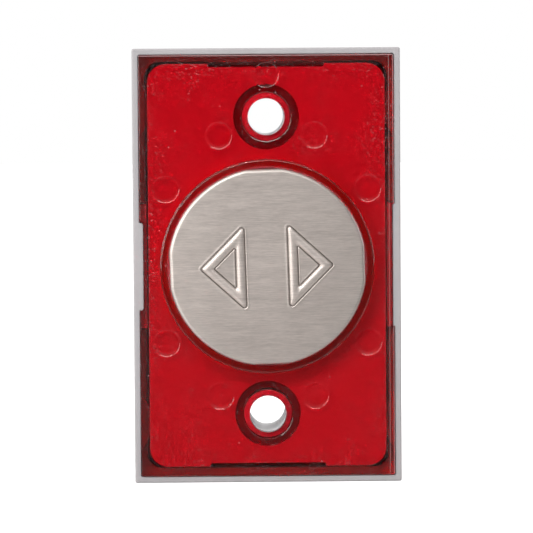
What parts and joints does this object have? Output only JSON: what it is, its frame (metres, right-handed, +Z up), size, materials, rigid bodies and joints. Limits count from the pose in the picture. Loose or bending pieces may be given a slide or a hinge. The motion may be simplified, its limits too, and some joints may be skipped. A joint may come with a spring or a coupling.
{
  "type": "push button",
  "caption": "Rectangular panel-mount push button: round brushed-steel cap with two outline triangles that point outwards, red translucent halo plate, grey housing, rear plug.",
  "frame": {"origin": "on the button's own axis, in the plane of the halo plate's front face, which seats on the back of the panel", "axes": "+Z up as installed, +X to the right of somebody facing the button, +Y into the panel, so the cap stands out towards -Y and is pressed towards +Y"},
  "size_m": [0.04, 0.0221, 0.065],
  "materials": {
    "halo_red": "transparent red moulded polycarbonate, fine spark-eroded face with polished collar",
    "opal_white": "opal white sheet",
    "white_abs": "white moulded ABS",
    "grey_abs": "light grey moulded ABS, fine satin texture",
    "brushed_cap": "stainless sheet, horizontal brushed grain",
    "bond_film": "double-sided bonding film",
    "natural_acetal": "natural white acetal",
    "soft_silicone": "translucent soft silicone ring",
    "spring_wire": "stainless spring wire",
    "board_green": "glass-epoxy board with green solder resist",
    "led_milky": "milky LED moulding",
    "chip_black": "chip part with black body",
    "chip_tan": "ceramic chip capacitor",
    "switch_black": "black nylon switch body",
    "plated_steel": "tin-plated steel",
    "stem_grey": "grey acetal stem",
    "plug_cream": "natural nylon",
    "pin_tin": "tin-plated brass pins",
    "screw_zinc": "zinc-plated steel",
    "cover_grey": "light grey moulded ABS, satin"
  },
  "bodies": {
    "housing": {"housing": "grey_abs", "halo_plate": "halo_red", "diffuser": "opal_white", "light_frame": "white_abs", "rear_cover": "cover_grey", "return_spring_left": "spring_wire", "return_spring_right": "spring_wire", "pcb": "board_green", "leds": "led_milky", "led_resistors": "chip_black", "protection_diode": "chip_black", "debounce_capacitor": "chip_tan", "switch_body": "switch_black", "switch_cover": "plated_steel", "switch_spring": "spring_wire", "switch_terminals": "plated_steel", "connector_header": "plug_cream", "connector_pins": "pin_tin", "pcb_screws": "screw_zinc", "rear_cover_screws": "screw_zinc"},
    "button": {"press_cap": "brushed_cap", "cap_adhesive": "bond_film", "plunger": "natural_acetal", "stop_ring": "soft_silicone"},
    "switch_stem": {"switch_actuator": "stem_grey"}
  },
  "joints": [
    {"name": "button_press", "type": "slide", "parent": "housing", "child": "button", "axis": [0, 1, 0], "range_m": [0, 0.0015], "stiffness_N_per_m": 900, "springref_m": -0.0015, "deforming": ["return_spring_left", "return_spring_right"]},
    {"name": "switch_stem_slide", "type": "slide", "parent": "housing", "child": "switch_stem", "axis": [0, 1, 0], "range_m": [0, 0.0015], "deforming": ["switch_spring"]}
  ],
  "couplings": [
    {"joint": "switch_stem_slide", "follows": "button_press", "ratio": 1}
  ]
}
